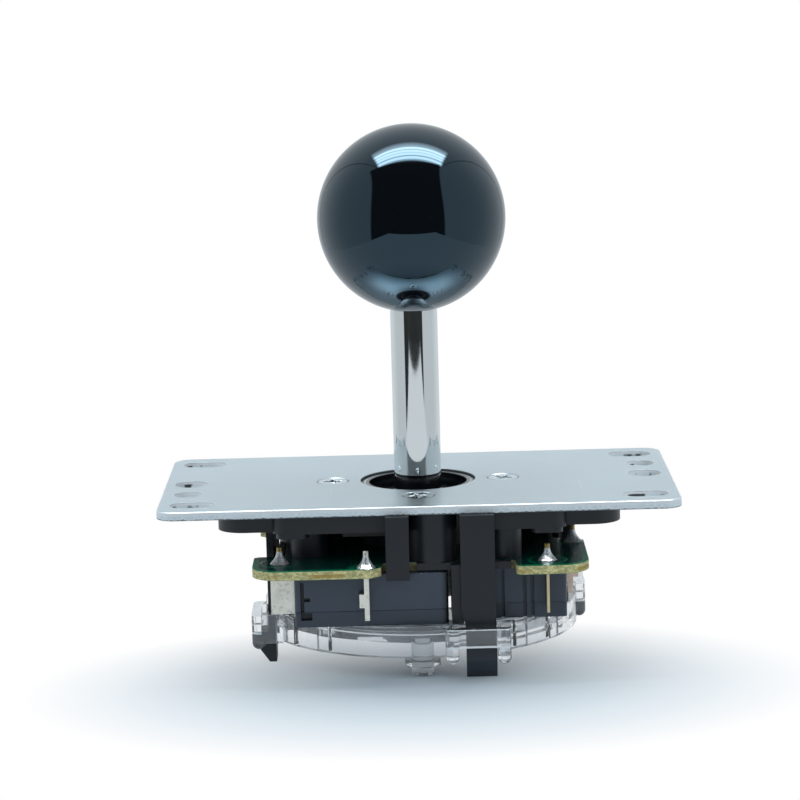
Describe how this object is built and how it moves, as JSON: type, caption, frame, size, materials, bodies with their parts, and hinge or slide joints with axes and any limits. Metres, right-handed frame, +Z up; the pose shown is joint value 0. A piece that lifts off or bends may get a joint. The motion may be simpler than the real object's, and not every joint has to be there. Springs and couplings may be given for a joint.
{
  "type": "joystick lever",
  "caption": "Ball-topped joystick lever on a steel mounting plate, with a pivot housing, microswitches on a board and a clear turnable gate.",
  "frame": {"origin": "centre of the mounting plate's top face, on the lever's axis at rest", "axes": "+Z up along the lever, +X along the plate's long side, -Y towards the front"},
  "size_m": [0.095, 0.0628, 0.098],
  "materials": {
    "plate_steel": "satin zinc",
    "screw_steel": "bright zinc",
    "housing_plastic": "moulded black",
    "shaft_chrome": "polished chrome plate",
    "ball_plastic": "polished black",
    "insert_brass": "turned",
    "pivot_plastic": "moulded black",
    "seat_steel": "plain steel",
    "spring_steel": "drawn wire",
    "actuator_plastic": "moulded white",
    "clip_steel": "spring steel",
    "board_laminate": "green solder mask on a cream laminate",
    "connector_plastic": "moulded cream",
    "pin_tin": "tinned",
    "solder_tin": "bright solder",
    "switch_plastic": "moulded dark grey",
    "plunger_plastic": "moulded red",
    "blade_copper": "rolled copper alloy",
    "terminal_tin": "tinned brass",
    "gate_clear": "clear moulded polycarbonate",
    "restrictor_clear": "clear moulded polycarbonate"
  },
  "bodies": {
    "base": {"mounting_plate": "plate_steel", "plate_screws": "screw_steel", "base_housing": "housing_plastic", "switch_board": "board_laminate", "connector_housing": "connector_plastic", "connector_pins": "pin_tin", "solder_joints": "solder_tin", "switch_case_front": "switch_plastic", "switch_cover_front": "switch_plastic", "switch_blade_front": "blade_copper", "common_terminal_front": "terminal_tin", "open_terminal_front": "terminal_tin", "switch_case_right": "switch_plastic", "switch_cover_right": "switch_plastic", "switch_blade_right": "blade_copper", "common_terminal_right": "terminal_tin", "open_terminal_right": "terminal_tin", "switch_case_back": "switch_plastic", "switch_cover_back": "switch_plastic", "switch_blade_back": "blade_copper", "common_terminal_back": "terminal_tin", "open_terminal_back": "terminal_tin", "switch_case_left": "switch_plastic", "switch_cover_left": "switch_plastic", "switch_blade_left": "blade_copper", "common_terminal_left": "terminal_tin", "open_terminal_left": "terminal_tin", "gate_frame": "gate_clear"},
    "cradle": {"spring_seat": "seat_steel", "centering_spring": "spring_steel"},
    "lever": {"pivot_bush": "pivot_plastic", "actuator": "actuator_plastic"},
    "stick": {"shaft": "shaft_chrome", "ball_top": "ball_plastic", "ball_insert": "insert_brass", "retaining_clip": "clip_steel"},
    "plunger_front": {"plunger_front": "plunger_plastic"},
    "plunger_right": {"plunger_right": "plunger_plastic"},
    "plunger_back": {"plunger_back": "plunger_plastic"},
    "plunger_left": {"plunger_left": "plunger_plastic"},
    "selector": {"restrictor_plate": "restrictor_clear"}
  },
  "joints": [
    {"name": "tilt_front_back", "type": "hinge", "parent": "base", "child": "cradle", "pos_m": [0, 0, -0.007], "axis": [1, 0, 0], "range_deg": [-10, 10], "stiffness_Nm_per_rad": 0.5},
    {"name": "tilt_left_right", "type": "hinge", "parent": "cradle", "child": "lever", "pos_m": [0, 0, -0.007], "axis": [0, 1, 0], "range_deg": [-10, 10], "stiffness_Nm_per_rad": 0.5, "deforming": ["centering_spring"]},
    {"name": "shaft_spin", "type": "hinge", "parent": "lever", "child": "stick", "pos_m": [0, 0, -0.007], "axis": [0, 0, 1], "continuous": true},
    {"name": "press_front", "type": "slide", "parent": "base", "child": "plunger_front", "axis": [0, -1, 0], "range_m": [0, 0.001], "stiffness_N_per_m": 600, "deforming": ["switch_blade_front"]},
    {"name": "press_right", "type": "slide", "parent": "base", "child": "plunger_right", "axis": [1, 0, 0], "range_m": [0, 0.001], "stiffness_N_per_m": 600, "deforming": ["switch_blade_right"]},
    {"name": "press_back", "type": "slide", "parent": "base", "child": "plunger_back", "axis": [0, 1, 0], "range_m": [0, 0.001], "stiffness_N_per_m": 600, "deforming": ["switch_blade_back"]},
    {"name": "press_left", "type": "slide", "parent": "base", "child": "plunger_left", "axis": [-1, 0, 0], "range_m": [0, 0.001], "stiffness_N_per_m": 600, "deforming": ["switch_blade_left"]},
    {"name": "selector_turn", "type": "hinge", "parent": "base", "child": "selector", "pos_m": [0, 0, -0.0236], "axis": [0, 0, 1], "range_deg": [-45, 0]}
  ]
}
